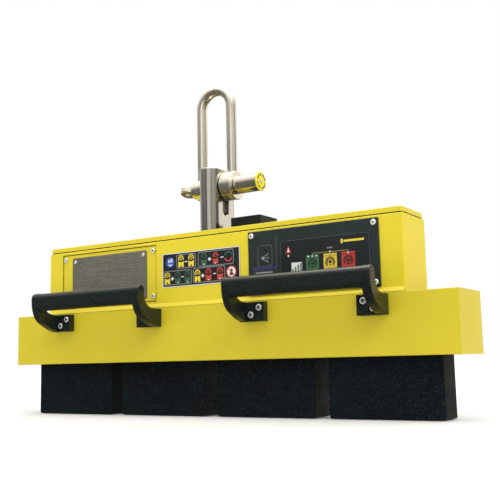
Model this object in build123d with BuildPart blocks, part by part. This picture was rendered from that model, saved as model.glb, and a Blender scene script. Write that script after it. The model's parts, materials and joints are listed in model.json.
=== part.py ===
from build123d import *
import math
import os

# Battery lifting magnet for long steel plates: four pole modules under a steel beam, an upper housing with
# the batteries and the electronics, two carrying handles, and a stainless lug with a sliding load pin and
# a shackle.
# Millimetres. +X runs along the beam to the right, +Y from the control side to the rear, +Z up.
# The origin is on the plane of the pole faces, under the middle of the magnet's outline.

os.makedirs("parts", exist_ok=True)

# ---------------------------------------------------------------- driving dimensions

# Pole modules
pole_count = 4
pole_end_inset = 29.15
pole_gap = 19.5
pole_depth = 42.0
pole_height = 74.0
jacket_wall = 2.5
jacket_lift = 0.5
jacket_corner = 2.0
jacket_bevel = 0.8
core_back_thickness = 14.0
centre_leg_width = 44.0
centre_leg_depth = 24.0
end_leg_width = 16.0
coil_bottom = 12.0
coil_clearance = 0.5
coil_corner = 4.0
potting_bottom = 0.6
potting_thickness = 10.0
fit_clearance = 0.15

# Beam, its end plates and the yoke plate that carries the poles
beam_length = 700.0
beam_depth = 80.0
beam_height = 74.0
beam_wall = 5.0
beam_top_thickness = 5.0
beam_edge_radius = 1.5
end_plate_thickness = 5.0
end_plate_gap = 0.05
rail_width = 14.0
rail_height = 10.0
rail_end_inset = 6.0
yoke_thickness = 12.0
wire_hole_radius = 10.0
wire_hole_x = 110.0

# Upper housing
housing_end_inset = 63.0
housing_depth = 73.0
housing_height = 93.0
housing_setback = 4.4
housing_wall = 3.0
housing_edge_radius = 2.0
housing_top_bevel = 0.8
top_flange_width = 14.0
top_flange_thickness = 3.0
flare_height = 6.0
flare_foot = 0.8
flare_gap = 0.2

# Top cover and its gasket
gasket_thickness = 1.6
gasket_inset = 3.0
cover_height = 6.4
cover_screw_share = 0.2
cover_sheet = 2.5
cover_inset = 1.6
cover_edge_radius = 1.2
cover_lug_gap = 0.8

# Hatch over the batteries, with the rating plate on it
hatch_x = (-260.0, -79.5)
hatch_above_beam = (9.0, 89.0)
hatch_gap = 1.5
hatch_recess = 1.2
hatch_thickness = 1.2
hatch_gasket_width = 9.0
hatch_ring_thickness = 2.0
hatch_ring_overlap = 10.0
hatch_ring_weld_lap = 3.0
hatch_screw_inset_x = 6.0
hatch_screw_inset_z = 8.0
rating_plate_x = (-240.0, -97.0)
rating_plate_above_beam = (14.0, 83.0)
rating_plate_thickness = 0.6
rating_plate_corner = 3.0
rating_screw_inset = 6.2

# Pictogram label
label_x = (-68.0, 60.0)
label_above_beam = (27.0, 74.0)
label_thickness = 0.5
label_corner = 2.0

# Control panel, key overlay, keys, lamps and sounder
panel_x = (74.0, 256.5)
panel_above_beam = (7.0, 90.0)
panel_thickness = 2.0
panel_corner = 1.0
panel_bevel = 0.4
panel_screw_inset = 5.8
panel_opening_inset = 12.0
overlay_x = (122.5, 245.0)
overlay_above_beam = (16.0, 73.5)
overlay_thickness = 0.6
overlay_corner = 4.0
key_width = 18.0
key_height = 15.4
key_gap = 0.2
key_corner = 1.5
key_proud = 0.6
key_flange = 1.5
key_flange_thickness = 1.2
key_flange_gap = 0.2
key_spacing = 6.3
middle_key_x = 192.4
keys_above_beam = 41.2
key_travel = 0.6
key_stem_radius = 2.5
gauge_x = (138.1, 153.1)
gauge_above_beam = (32.2, 44.7)
lamp_radius = 1.0
lamp_proud = 0.3
lamp_above_keys = 1.7
middle_lamp_above_keys = 5.2
green_lamp_spacing = 5.6
warning_lamp_x = 134.2
warning_lamp_above_beam = 62.0
warning_lamp_width = 7.5
warning_lamp_height = 9.5
sounder_x = 100.0
sounder_above_beam = 64.0
sounder_radius = 7.0
sounder_port_radius = 1.3
sounder_wall = 1.0

# Control board, battery packs, driver unit
board_x = (88.0, 244.0)
board_above_beam = (20.0, 78.0)
board_thickness = 1.6
board_setback = 6.0
standoff_radius = 3.0
board_hole_radius = 1.7
board_hole_inset = 5.0
processor_size = 24.0
processor_height = 2.5
switch_size = 6.0
board_clearance = 0.3
pack_size = (86.0, 48.0, 70.0)
pack_x = (-216.0, -122.0)
pack_corner = 3.0
pack_floor_gap = 2.0
bracket_sheet = 2.0
bracket_ear = 14.0
driver_size = (150.0, 38.0, 60.0)
driver_mid_x = 168.0
driver_corner = 2.0
driver_fin_count = 9
driver_fin_depth = 8.0
driver_fin_width = 3.0
driver_rear_gap = 2.0

# Charging socket on the left end of the housing
socket_flange = 26.0
socket_flange_thickness = 3.0
socket_barrel_radius = 9.0
socket_barrel_length = 16.0
socket_cap_radius = 10.0
socket_cap_length = 6.0
socket_cap_bevel = 1.0
socket_above_beam = 52.0

# Lifting lug with its slot
lug_width = 29.0
lug_depth = 62.0
lug_above_pin = 23.8
lug_rear_offset = 1.0
lug_top_radius = 1.5
lug_flange_length = 110.0
lug_flange_thickness = 15.0
lug_flange_corner = 6.0
slot_bevel = 1.2
lug_bolt_x = 42.0
lug_bolt_y = 20.0

# Load pin, shackle bow and load sensor
pin_radius = 7.0
pin_above_cover = 64.5
pin_travel = 33.0
slot_clearance = 0.1
bow_bar_radius = 7.5
bow_leg_spacing = 50.0
bow_shift = 1.4
bow_bend_above_pin = 116.0
bow_leg_foot = 11.0
boss_gap = 1.0
left_boss_radius = 15.0
left_boss_length = 15.5
right_boss_radius = 20.4
right_boss_length = 18.7
boss_bevel = 1.0
pin_running_clearance = 0.06
side_gap = 0.6
collar_radius = 11.5
collar_length = 5.0
eye_radius = 11.0
eye_past_collar = 12.9
eye_hole_radius = 4.2
eye_thickness = 8.0
eye_neck_width = 17.0
eye_edge_radius = 1.2
eye_tilt = 18.0
sleeve_radius = 13.0
sleeve_length = 36.2
sleeve_thread_length = 18.0
sleeve_cavity_radius = 10.5
sleeve_edge = 0.6
sensor_cap_thickness = 2.2
sensor_cap_bevel = 0.5

# Black receiver of the remote control, on the cover
receiver_x = (36.0, 83.0)
receiver_y_from_beam_front = (20.0, 66.0)
receiver_height = 15.0
receiver_corner = 2.0
receiver_edge_radius = 1.0

# Carrying handles on the beam's front
handle_mid_x = 167.0
handle_shift = -1.3
handle_half_length = 100.3
handle_reach = 50.5
handle_foot_below_beam_top = (26.5, 2.0)
handle_foot_inner = 63.6
handle_foot_thickness = 9.0
handle_arm_width = 11.0
handle_above_beam = 28.6
grip_depth = 15.5
grip_height = 26.4
grip_step = 0.4
handle_edge_radius = 1.6
handle_screw_spots = ((71.6, 17.5), (83.8, 8.5))
handle_screw_recess = 6.0
handle_screw_recess_radius = 6.0
arm_front_drop = 3.0
arm_front_curve = ((2.9, 26.4), (8.2, 16.9), (18.8, 9.3), (31.7, 3.1))
arm_shelf = 9.3
arm_rear_rise = 19.0
arm_foot_slope = -0.1

# Fasteners: head radius, head height, shank radius, socket radius, socket depth
m4_pan = (3.5, 2.2, 1.9, 1.3, 1.2)
m3_pan = (2.6, 1.6, 1.4, 1.0, 0.9)
m6_cap = (5.15, 6.0, 2.95, 2.9, 3.0)
m10_cap = (8.0, 10.0, 4.9, 4.6, 5.0)
m12_cap = (9.0, 12.0, 5.9, 5.8, 6.0)
m5_flush_head_radius = 4.8
m5_flush_head_height = 2.4
m6_flush_head_radius = 6.0
m6_flush_head_height = 3.3
hex_nut_radius = 10.9
hex_nut_height = 10.0
screw_hole_gap = 0.1
edge_tolerance = 0.1
screw_crown_share = 0.35
screw_crown_taper = 40.0
screw_end_gap = 1.0
flush_head_floor = 1.0

# ---------------------------------------------------------------- places worked out from them

pole_run = beam_length - 2 * pole_end_inset
pole_width = (pole_run - (pole_count - 1) * pole_gap) / pole_count
pole_pitch = pole_width + pole_gap
housing_length = beam_length - 2 * housing_end_inset
beam_front = -(beam_depth - handle_reach) / 2
beam_rear = beam_front + beam_depth
beam_mid_y = beam_front + beam_depth / 2
beam_bottom = pole_height
beam_top = beam_bottom + beam_height
yoke_top = beam_bottom + yoke_thickness
housing_front = beam_front + housing_setback
housing_rear = housing_front + housing_depth
housing_mid_y = housing_front + housing_depth / 2
housing_top = beam_top + housing_height
inside_rear = housing_rear - housing_wall
cover_bottom = housing_top + gasket_thickness
cover_top = cover_bottom + cover_height
lug_mid_y = housing_mid_y + lug_rear_offset
pin_height = cover_top + pin_above_cover
lug_top = pin_height + lug_above_pin
bow_bend_height = pin_height + bow_bend_above_pin
panel_front = housing_front - panel_thickness
overlay_front = panel_front - overlay_thickness
board_front = housing_front + board_setback
hatch_front = housing_front + hatch_recess
hatch_back = hatch_front + hatch_thickness
ring_front = housing_front + housing_wall
hatch_z = [beam_top + height for height in hatch_above_beam]
rating_plate_z = [beam_top + height for height in rating_plate_above_beam]
label_z = [beam_top + height for height in label_above_beam]
panel_z = [beam_top + height for height in panel_above_beam]
overlay_z = [beam_top + height for height in overlay_above_beam]
gauge_z = [beam_top + height for height in gauge_above_beam]
board_z = [beam_top + height for height in board_above_beam]
key_mid_z = beam_top + keys_above_beam
warning_lamp_centre = (warning_lamp_x, beam_top + warning_lamp_above_beam)
sounder_centre = (sounder_x, beam_top + sounder_above_beam)
socket_mid_z = beam_top + socket_above_beam
key_pitch = key_width + key_spacing
key_x = [middle_key_x + step * key_pitch for step in (-1, 0, 1)]
handle_foot_z = [beam_top - drop for drop in handle_foot_below_beam_top]
handle_top_z = beam_top + handle_above_beam
handle_centres = [handle_shift - handle_mid_x, handle_shift + handle_mid_x]


# ---------------------------------------------------------------- helpers

def middle(span):
    return (span[0] + span[1]) / 2


def length(span):
    return span[1] - span[0]


def inset(span, amount):
    return (span[0] + amount, span[1] - amount)


def about(centre, size):
    return (centre - size / 2, centre + size / 2)


def corners(x_span, z_span, inset_x, inset_z):
    return [(x, z) for x in inset(x_span, inset_x) for z in inset(z_span, inset_z)]


def facing_front(y):
    """A plane at depth y that faces the control side: its own x is X and its own y is Z."""
    return Plane.XZ.offset(-y)


def block(x_span, y_span, z_span, corner=0.0, mode=Mode.ADD):
    """A box in the open part, between the given limits, with rounded upright edges when corner is set."""
    with BuildSketch(Plane.XY.offset(z_span[0])) as outline:
        with Locations((middle(x_span), middle(y_span))):
            if corner > 0:
                RectangleRounded(length(x_span), length(y_span), corner)
            else:
                Rectangle(length(x_span), length(y_span))
    extrude(outline.sketch, amount=length(z_span), mode=mode)


def front_plate(x_span, z_span, front, thickness, corner=0.0, mode=Mode.ADD):
    """A plate that faces the control side, from its front plane back into the object."""
    with BuildSketch(facing_front(front)) as outline:
        with Locations((middle(x_span), middle(z_span))):
            if corner > 0:
                RectangleRounded(length(x_span), length(z_span), corner)
            else:
                Rectangle(length(x_span), length(z_span))
    extrude(outline.sketch, amount=-thickness, mode=mode)


def front_rod(x, z, front, radius, depth, mode=Mode.ADD):
    """A round bar or hole along Y, from its front end back into the object."""
    with BuildSketch(facing_front(front)) as outline:
        with Locations((x, z)):
            Circle(radius)
    extrude(outline.sketch, amount=-depth, mode=mode)


def upright_rod(x, y, bottom, radius, height, mode=Mode.ADD):
    """A round bar or hole along Z."""
    with BuildSketch(Plane.XY.offset(bottom)) as outline:
        with Locations((x, y)):
            Circle(radius)
    extrude(outline.sketch, amount=height, mode=mode)


def side_rod(start_x, y, z, radius, run, mode=Mode.ADD):
    """A round bar or hole along X, from start_x over run."""
    with BuildSketch(Plane.YZ.offset(start_x)) as outline:
        with Locations((y, z)):
            Circle(radius)
    extrude(outline.sketch, amount=run, mode=mode)


def front_screw(x, z, seat, size, shank_length):
    """A screw driven from the control side: its head stands in front of the seat, with a hexagon socket."""
    head_radius, head_height, shank_radius, socket_radius, socket_depth = size
    crown_height = head_height * screw_crown_share
    crown_base = seat - head_height + crown_height
    front_rod(x, z, crown_base, head_radius, head_height - crown_height)
    with BuildSketch(facing_front(crown_base)) as outline:
        with Locations((x, z)):
            Circle(head_radius)
    extrude(outline.sketch, amount=crown_height, taper=screw_crown_taper)
    front_rod(x, z, seat, shank_radius, shank_length)
    with BuildSketch(facing_front(seat - head_height)) as outline:
        with Locations((x, z)):
            RegularPolygon(socket_radius, 6)
    extrude(outline.sketch, amount=-socket_depth, mode=Mode.SUBTRACT)


def top_screw(x, y, seat, size, shank_length):
    """A screw driven from above: its head stands on the seat, with a hexagon socket."""
    head_radius, head_height, shank_radius, socket_radius, socket_depth = size
    upright_rod(x, y, seat, head_radius, head_height)
    upright_rod(x, y, seat - shank_length, shank_radius, shank_length)
    with BuildSketch(Plane.XY.offset(seat + head_height)) as outline:
        with Locations((x, y)):
            RegularPolygon(socket_radius, 6)
    extrude(outline.sketch, amount=-socket_depth, mode=Mode.SUBTRACT)


def lug_passage(bottom, height):
    """Cuts the lug's way through a flange, gasket or cover, with a gap all round."""
    with BuildSketch(Plane.XY.offset(bottom)) as outline:
        with Locations((0, lug_mid_y)):
            SlotOverall(lug_depth + 2 * cover_lug_gap, lug_width + 2 * cover_lug_gap, rotation=90)
    extrude(outline.sketch, amount=height, mode=Mode.SUBTRACT)


# ---------------------------------------------------------------- pole modules

pole_y = about(beam_mid_y, pole_depth)
core_y = inset(pole_y, jacket_wall + fit_clearance)
core_back_bottom = pole_height - core_back_thickness
module_x = [(index - (pole_count - 1) / 2) * pole_pitch for index in range(pole_count)]
core_bolt_offset = (centre_leg_width + pole_width) / 4

for index, mid_x in enumerate(module_x, start=1):
    outer_x = about(mid_x, pole_width)
    core_x = inset(outer_x, jacket_wall + fit_clearance)
    window_x = inset(core_x, end_leg_width)
    leg_x = about(mid_x, centre_leg_width)
    leg_y = about(beam_mid_y, centre_leg_depth)

    # Black jacket: a rectangular sleeve round the core and the coil
    with BuildPart() as magnet_jacket:
        block(outer_x, pole_y, (jacket_lift, pole_height), jacket_corner)
        chamfer(magnet_jacket.faces().sort_by(Axis.Z)[0].edges(), jacket_bevel)
        bore_x = inset(outer_x, jacket_wall)
        bore_y = inset(pole_y, jacket_wall)
        block(bore_x, bore_y, (jacket_lift, pole_height), mode=Mode.SUBTRACT)
    magnet_jacket.part.label = f"magnet_jacket_{index}"
    export_step(magnet_jacket.part, f"parts/magnet_jacket_{index}.step")

    # Soft steel core: a back slab, two end legs and a centre leg, whose lower ends are the pole faces
    with BuildPart() as pole_core:
        block(core_x, core_y, (core_back_bottom, pole_height))
        block((core_x[0], core_x[0] + end_leg_width), core_y, (0, core_back_bottom))
        block((core_x[1] - end_leg_width, core_x[1]), core_y, (0, core_back_bottom))
        block(leg_x, leg_y, (0, core_back_bottom))
        for side in (-1, 1):
            bolt_x = mid_x + side * core_bolt_offset
            hole_radius = m10_cap[2] + screw_hole_gap
            upright_rod(bolt_x, beam_mid_y, core_back_bottom, hole_radius, core_back_thickness, Mode.SUBTRACT)
    pole_core.part.label = f"pole_core_{index}"
    export_step(pole_core.part, f"parts/pole_core_{index}.step")

    # Copper winding round the centre leg
    coil_z = (coil_bottom, core_back_bottom - coil_clearance)
    with BuildPart() as pole_coil:
        block(inset(window_x, coil_clearance), inset(core_y, coil_clearance), coil_z, coil_corner)
        block(inset(leg_x, -coil_clearance), inset(leg_y, -coil_clearance), coil_z, mode=Mode.SUBTRACT)
    pole_coil.part.label = f"pole_coil_{index}"
    export_step(pole_coil.part, f"parts/pole_coil_{index}.step")

    # Resin that closes the module between the pole faces
    potting_z = (potting_bottom, potting_bottom + potting_thickness)
    with BuildPart() as pole_potting:
        block(inset(window_x, fit_clearance), core_y, potting_z)
        block(inset(leg_x, -fit_clearance), inset(leg_y, -fit_clearance), potting_z, mode=Mode.SUBTRACT)
    pole_potting.part.label = f"pole_potting_{index}"
    export_step(pole_potting.part, f"parts/pole_potting_{index}.step")

# Two cap screws hold each core to the yoke plate from above
core_bolt_length = yoke_thickness + core_back_thickness - coil_clearance
with BuildPart() as core_bolts:
    for mid_x in module_x:
        for side in (-1, 1):
            top_screw(mid_x + side * core_bolt_offset, beam_mid_y, yoke_top, m10_cap, core_bolt_length)
core_bolts.part.label = "core_bolts"
export_step(core_bolts.part, "parts/core_bolts.step")

# ---------------------------------------------------------------- beam

beam_x = about(0, beam_length)
beam_y = (beam_front, beam_rear)
beam_inner_y = inset(beam_y, beam_wall)
end_plate_inner_x = beam_length / 2 - end_plate_thickness
rail_x = about(0, 2 * (end_plate_inner_x - rail_end_inset))
rail_z = (yoke_top, yoke_top + rail_height)
yoke_screw_y = [beam_inner_y[0] + rail_width / 2, beam_inner_y[1] - rail_width / 2]
yoke_screw_x = [index * pole_pitch for index in (-1, 0, 1)]
outer_screw_x = (module_x[-1] + pole_width / 2 + end_plate_inner_x) / 2
yoke_screw_x += [-outer_screw_x, outer_screw_x]
handle_screws_at = [
    (centre + side * spot_x, handle_foot_z[0] + spot_z)
    for centre in handle_centres
    for side in (-1, 1)
    for spot_x, spot_z in handle_screw_spots
]
lug_bolt_spots = [(x, lug_mid_y + y) for x in (-lug_bolt_x, lug_bolt_x) for y in (-lug_bolt_y, lug_bolt_y)]

# Yellow beam: a channel open below, with a rail welded inside each wall for the yoke plate
with BuildPart() as beam_housing:
    block(beam_x, beam_y, (beam_bottom, beam_top))
    long_edges = beam_housing.edges().filter_by(Axis.X)
    fillet(long_edges, beam_edge_radius)
    block(beam_x, beam_inner_y, (beam_bottom, beam_top - beam_top_thickness), mode=Mode.SUBTRACT)
    block(rail_x, (beam_inner_y[0], beam_inner_y[0] + rail_width), rail_z)
    block(rail_x, (beam_inner_y[1] - rail_width, beam_inner_y[1]), rail_z)
    for x in yoke_screw_x:
        for y in yoke_screw_y:
            upright_rod(x, y, yoke_top, m6_cap[2] + screw_hole_gap, rail_height, Mode.SUBTRACT)
    for x, z in handle_screws_at:
        front_rod(x, z, beam_front, m6_cap[2] + screw_hole_gap, beam_wall, Mode.SUBTRACT)
    for x, y in lug_bolt_spots:
        hole_radius = m12_cap[2] + screw_hole_gap
        upright_rod(x, y, beam_top - beam_top_thickness, hole_radius, beam_top_thickness, Mode.SUBTRACT)
    for x in (-wire_hole_x, wire_hole_x):
        wire_hole_z = beam_top - beam_top_thickness
        upright_rod(x, beam_mid_y, wire_hole_z, wire_hole_radius, beam_top_thickness, Mode.SUBTRACT)
beam_housing.part.label = "beam_housing"
export_step(beam_housing.part, "parts/beam_housing.step")

# An end plate closes each end of the beam, flush with it
end_plate_y = inset(beam_inner_y, end_plate_gap)
end_plate_z = (beam_bottom, beam_top - beam_top_thickness - end_plate_gap)
for name, side in (("left", -1), ("right", 1)):
    plate_x = sorted((side * end_plate_inner_x, side * beam_length / 2))
    with BuildPart() as beam_end:
        block(plate_x, end_plate_y, end_plate_z)
    beam_end.part.label = f"beam_end_{name}"
    export_step(beam_end.part, f"parts/beam_end_{name}.step")

# Steel yoke plate: closes the beam below and carries the four cores
yoke_x = about(0, 2 * (end_plate_inner_x - end_plate_gap))
with BuildPart() as yoke_plate:
    block(yoke_x, inset(beam_inner_y, end_plate_gap), (beam_bottom, yoke_top))
    for mid_x in module_x:
        for side in (-1, 1):
            hole_radius = m10_cap[2] + screw_hole_gap
            bolt_x = mid_x + side * core_bolt_offset
            upright_rod(bolt_x, beam_mid_y, beam_bottom, hole_radius, yoke_thickness, Mode.SUBTRACT)
    for x in yoke_screw_x:
        for y in yoke_screw_y:
            upright_rod(x, y, beam_bottom, m6_cap[2] + screw_hole_gap, yoke_thickness, Mode.SUBTRACT)
            head_hole_radius = m6_flush_head_radius + screw_hole_gap
            upright_rod(x, y, beam_bottom, head_hole_radius, m6_flush_head_height, Mode.SUBTRACT)
yoke_plate.part.label = "yoke_plate"
export_step(yoke_plate.part, "parts/yoke_plate.step")

# Screws that hold the yoke plate up against the rails, sunk into its underside
yoke_screw_length = yoke_thickness + rail_height - screw_end_gap
with BuildPart() as yoke_screws:
    for x in yoke_screw_x:
        for y in yoke_screw_y:
            upright_rod(x, y, beam_bottom, m6_cap[2], yoke_screw_length)
            upright_rod(x, y, beam_bottom, m6_flush_head_radius, m6_flush_head_height)
            with BuildSketch(Plane.XY.offset(beam_bottom)):
                with Locations((x, y)):
                    RegularPolygon(m6_cap[3], 6)
            extrude(amount=m6_flush_head_height - flush_head_floor, mode=Mode.SUBTRACT)
yoke_screws.part.label = "yoke_screws"
export_step(yoke_screws.part, "parts/yoke_screws.step")

# ---------------------------------------------------------------- upper housing

housing_x = about(0, housing_length)
housing_y = (housing_front, housing_rear)
housing_z = (beam_top, housing_top)
cavity_x = inset(housing_x, housing_wall)
cavity_y = inset(housing_y, housing_wall)
flange_window_x = inset(housing_x, top_flange_width)
flange_window_y = inset(housing_y, top_flange_width)
hatch_screw_spots = corners(hatch_x, hatch_z, hatch_screw_inset_x, hatch_screw_inset_z)
panel_screw_spots = corners(panel_x, panel_z, panel_screw_inset, panel_screw_inset)
panel_opening_x = inset(panel_x, panel_opening_inset)
panel_opening_z = inset(panel_z, panel_opening_inset)
cover_screw_x = (housing_length / 2 - top_flange_width / 2, housing_length * cover_screw_share)
cover_screw_spots = [
    (side * x, y)
    for x in cover_screw_x
    for side in (-1, 1)
    for y in (housing_front + top_flange_width / 2, housing_rear - top_flange_width / 2)
]

# Yellow housing: four walls, a flange for the cover, a ring behind the hatch, and a sloped foot at the front
# and the rear
with BuildPart() as upper_housing:
    block(housing_x, housing_y, housing_z, housing_edge_radius)
    chamfer(upper_housing.faces().sort_by(Axis.Z)[-1].edges(), housing_top_bevel)
    block(cavity_x, cavity_y, (beam_top, housing_top - top_flange_thickness), mode=Mode.SUBTRACT)
    block(flange_window_x, flange_window_y, (beam_top, housing_top), mode=Mode.SUBTRACT)
    lug_passage(housing_top - top_flange_thickness, top_flange_thickness)
    for face_y, foot_y in ((housing_front, beam_front + flare_gap), (housing_rear, beam_rear - flare_gap)):
        with BuildSketch(Plane.YZ.offset(housing_x[0] + housing_edge_radius)):
            with BuildLine():
                Polyline(
                    (face_y, beam_top),
                    (foot_y, beam_top),
                    (foot_y, beam_top + flare_foot),
                    (face_y, beam_top + flare_height),
                    close=True,
                )
            make_face()
        extrude(amount=housing_length - 2 * housing_edge_radius)
    front_plate(hatch_x, hatch_z, housing_front, housing_wall, mode=Mode.SUBTRACT)
    ring_x = inset(hatch_x, -hatch_ring_weld_lap)
    ring_z = inset(hatch_z, -hatch_ring_weld_lap)
    front_plate(ring_x, ring_z, ring_front, hatch_ring_thickness)
    ring_window_x = inset(hatch_x, hatch_ring_overlap)
    ring_window_z = inset(hatch_z, hatch_ring_overlap)
    front_plate(ring_window_x, ring_window_z, ring_front, hatch_ring_thickness, mode=Mode.SUBTRACT)
    for x, z in hatch_screw_spots:
        front_rod(x, z, ring_front, m4_pan[2] + screw_hole_gap, hatch_ring_thickness, Mode.SUBTRACT)
    front_plate(panel_opening_x, panel_opening_z, housing_front, housing_wall, mode=Mode.SUBTRACT)
    for x, z in panel_screw_spots:
        front_rod(x, z, housing_front, m4_pan[2] + screw_hole_gap, housing_wall, Mode.SUBTRACT)
    for x, y in cover_screw_spots:
        hole_bottom = housing_top - top_flange_thickness
        upright_rod(x, y, hole_bottom, m4_pan[2] + screw_hole_gap, top_flange_thickness, Mode.SUBTRACT)
    socket_hole_radius = socket_barrel_radius + screw_hole_gap
    side_rod(housing_x[0], housing_mid_y, socket_mid_z, socket_hole_radius, housing_wall, Mode.SUBTRACT)
upper_housing.part.label = "upper_housing"
export_step(upper_housing.part, "parts/upper_housing.step")

# ---------------------------------------------------------------- top cover

gasket_x = inset(housing_x, gasket_inset)
gasket_y = inset(housing_y, gasket_inset)
with BuildPart() as cover_gasket:
    block(gasket_x, gasket_y, (housing_top, cover_bottom))
    block(flange_window_x, flange_window_y, (housing_top, cover_bottom), mode=Mode.SUBTRACT)
    lug_passage(housing_top, gasket_thickness)
    for x, y in cover_screw_spots:
        upright_rod(x, y, housing_top, m4_pan[2] + screw_hole_gap, gasket_thickness, Mode.SUBTRACT)
cover_gasket.part.label = "cover_gasket"
export_step(cover_gasket.part, "parts/cover_gasket.step")

cover_x = inset(housing_x, cover_inset)
cover_y = inset(housing_y, cover_inset)
with BuildPart() as top_cover:
    block(cover_x, cover_y, (cover_bottom, cover_top), housing_edge_radius)
    fillet(top_cover.faces().sort_by(Axis.Z)[-1].edges(), cover_edge_radius)
    pocket_z = (cover_bottom, cover_top - cover_sheet)
    block(flange_window_x, flange_window_y, pocket_z, mode=Mode.SUBTRACT)
    lug_passage(cover_bottom, cover_height)
    for x, y in cover_screw_spots:
        upright_rod(x, y, cover_bottom, m4_pan[2] + screw_hole_gap, cover_height, Mode.SUBTRACT)
        head_bottom = cover_top - m5_flush_head_height
        head_hole_radius = m5_flush_head_radius + screw_hole_gap
        upright_rod(x, y, head_bottom, head_hole_radius, m5_flush_head_height, Mode.SUBTRACT)
top_cover.part.label = "top_cover"
export_step(top_cover.part, "parts/top_cover.step")

with BuildPart() as cover_screws:
    for x, y in cover_screw_spots:
        head_bottom = cover_top - m5_flush_head_height
        shank_bottom = housing_top - top_flange_thickness
        upright_rod(x, y, head_bottom, m5_flush_head_radius, m5_flush_head_height)
        upright_rod(x, y, shank_bottom, m4_pan[2], head_bottom - shank_bottom)
        with BuildSketch(Plane.XY.offset(cover_top)):
            with Locations((x, y)):
                RegularPolygon(m4_pan[3], 6)
        extrude(amount=-m4_pan[4], mode=Mode.SUBTRACT)
cover_screws.part.label = "cover_screws"
export_step(cover_screws.part, "parts/cover_screws.step")

# ---------------------------------------------------------------- battery hatch and rating plate

hatch_plate_x = inset(hatch_x, hatch_gap)
hatch_plate_z = inset(hatch_z, hatch_gap)
hatch_gasket_thickness = ring_front - hatch_back
rating_screw_spots = corners(rating_plate_x, rating_plate_z, rating_screw_inset, rating_screw_inset)

with BuildPart() as hatch_gasket:
    front_plate(hatch_plate_x, hatch_plate_z, hatch_back, hatch_gasket_thickness)
    gasket_window_x = inset(hatch_plate_x, hatch_gasket_width)
    gasket_window_z = inset(hatch_plate_z, hatch_gasket_width)
    front_plate(gasket_window_x, gasket_window_z, hatch_back, hatch_gasket_thickness, mode=Mode.SUBTRACT)
    for x, z in hatch_screw_spots:
        front_rod(x, z, hatch_back, m4_pan[2] + screw_hole_gap, hatch_gasket_thickness, Mode.SUBTRACT)
hatch_gasket.part.label = "hatch_gasket"
export_step(hatch_gasket.part, "parts/hatch_gasket.step")

with BuildPart() as battery_hatch:
    front_plate(hatch_plate_x, hatch_plate_z, hatch_front, hatch_thickness)
    for x, z in hatch_screw_spots:
        front_rod(x, z, hatch_front, m4_pan[2] + screw_hole_gap, hatch_thickness, Mode.SUBTRACT)
    for x, z in rating_screw_spots:
        front_rod(x, z, hatch_front, m3_pan[2] + screw_hole_gap, hatch_thickness, Mode.SUBTRACT)
battery_hatch.part.label = "battery_hatch"
export_step(battery_hatch.part, "parts/battery_hatch.step")

with BuildPart() as hatch_screws:
    for x, z in hatch_screw_spots:
        shank = hatch_thickness + hatch_gasket_thickness + hatch_ring_thickness
        front_screw(x, z, hatch_front, m4_pan, shank)
hatch_screws.part.label = "hatch_screws"
export_step(hatch_screws.part, "parts/hatch_screws.step")

rating_front = hatch_front - rating_plate_thickness
with BuildPart() as rating_plate:
    front_plate(rating_plate_x, rating_plate_z, rating_front, rating_plate_thickness, rating_plate_corner)
    for x, z in rating_screw_spots:
        front_rod(x, z, rating_front, m3_pan[2] + screw_hole_gap, rating_plate_thickness, Mode.SUBTRACT)
rating_plate.part.label = "rating_plate"
export_step(rating_plate.part, "parts/rating_plate.step")

with BuildPart() as rating_plate_screws:
    for x, z in rating_screw_spots:
        front_screw(x, z, rating_front, m3_pan, rating_plate_thickness + hatch_thickness)
rating_plate_screws.part.label = "rating_plate_screws"
export_step(rating_plate_screws.part, "parts/rating_plate_screws.step")

# ---------------------------------------------------------------- pictogram label

with BuildPart() as pictogram_label:
    front_plate(label_x, label_z, housing_front - label_thickness, label_thickness, label_corner)
pictogram_label.part.label = "pictogram_label"
export_step(pictogram_label.part, "parts/pictogram_label.step")

# ---------------------------------------------------------------- control panel

key_z = about(key_mid_z, key_height)
key_spans = [about(x, key_width) for x in key_x]
lamp_z = key_z[1] + lamp_above_keys
lamp_spots = [(key_x[0] + offset * green_lamp_spacing, lamp_z) for offset in (-1, 0, 1)]
lamp_spots += [(key_x[1], key_z[1] + middle_lamp_above_keys), (key_x[2], lamp_z)]
window_depth = panel_thickness + overlay_thickness


def warning_triangle(front, depth, mode=Mode.ADD):
    """The upright triangle of the warning lamp, from its front plane back."""
    half_width = warning_lamp_width / 2
    half_height = warning_lamp_height / 2
    with BuildSketch(facing_front(front)) as outline:
        with Locations(warning_lamp_centre):
            Polygon((-half_width, -half_height), (half_width, -half_height), (0, half_height), align=None)
    extrude(outline.sketch, amount=-depth, mode=mode)


with BuildPart() as control_panel:
    front_plate(panel_x, panel_z, panel_front, panel_thickness, panel_corner)
    chamfer(control_panel.faces().sort_by(Axis.Y)[0].edges(), panel_bevel)
    for x, z in panel_screw_spots:
        front_rod(x, z, panel_front, m4_pan[2] + screw_hole_gap, panel_thickness, Mode.SUBTRACT)
    for span in key_spans:
        window_x = inset(span, -key_gap)
        window_z = inset(key_z, -key_gap)
        front_plate(window_x, window_z, panel_front, panel_thickness, mode=Mode.SUBTRACT)
    front_plate(gauge_x, gauge_z, panel_front, panel_thickness, mode=Mode.SUBTRACT)
    for x, z in lamp_spots:
        front_rod(x, z, panel_front, lamp_radius, panel_thickness, Mode.SUBTRACT)
    warning_triangle(panel_front, panel_thickness, Mode.SUBTRACT)
    front_rod(*sounder_centre, panel_front, sounder_port_radius, panel_thickness, Mode.SUBTRACT)
control_panel.part.label = "control_panel"
export_step(control_panel.part, "parts/control_panel.step")

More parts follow.
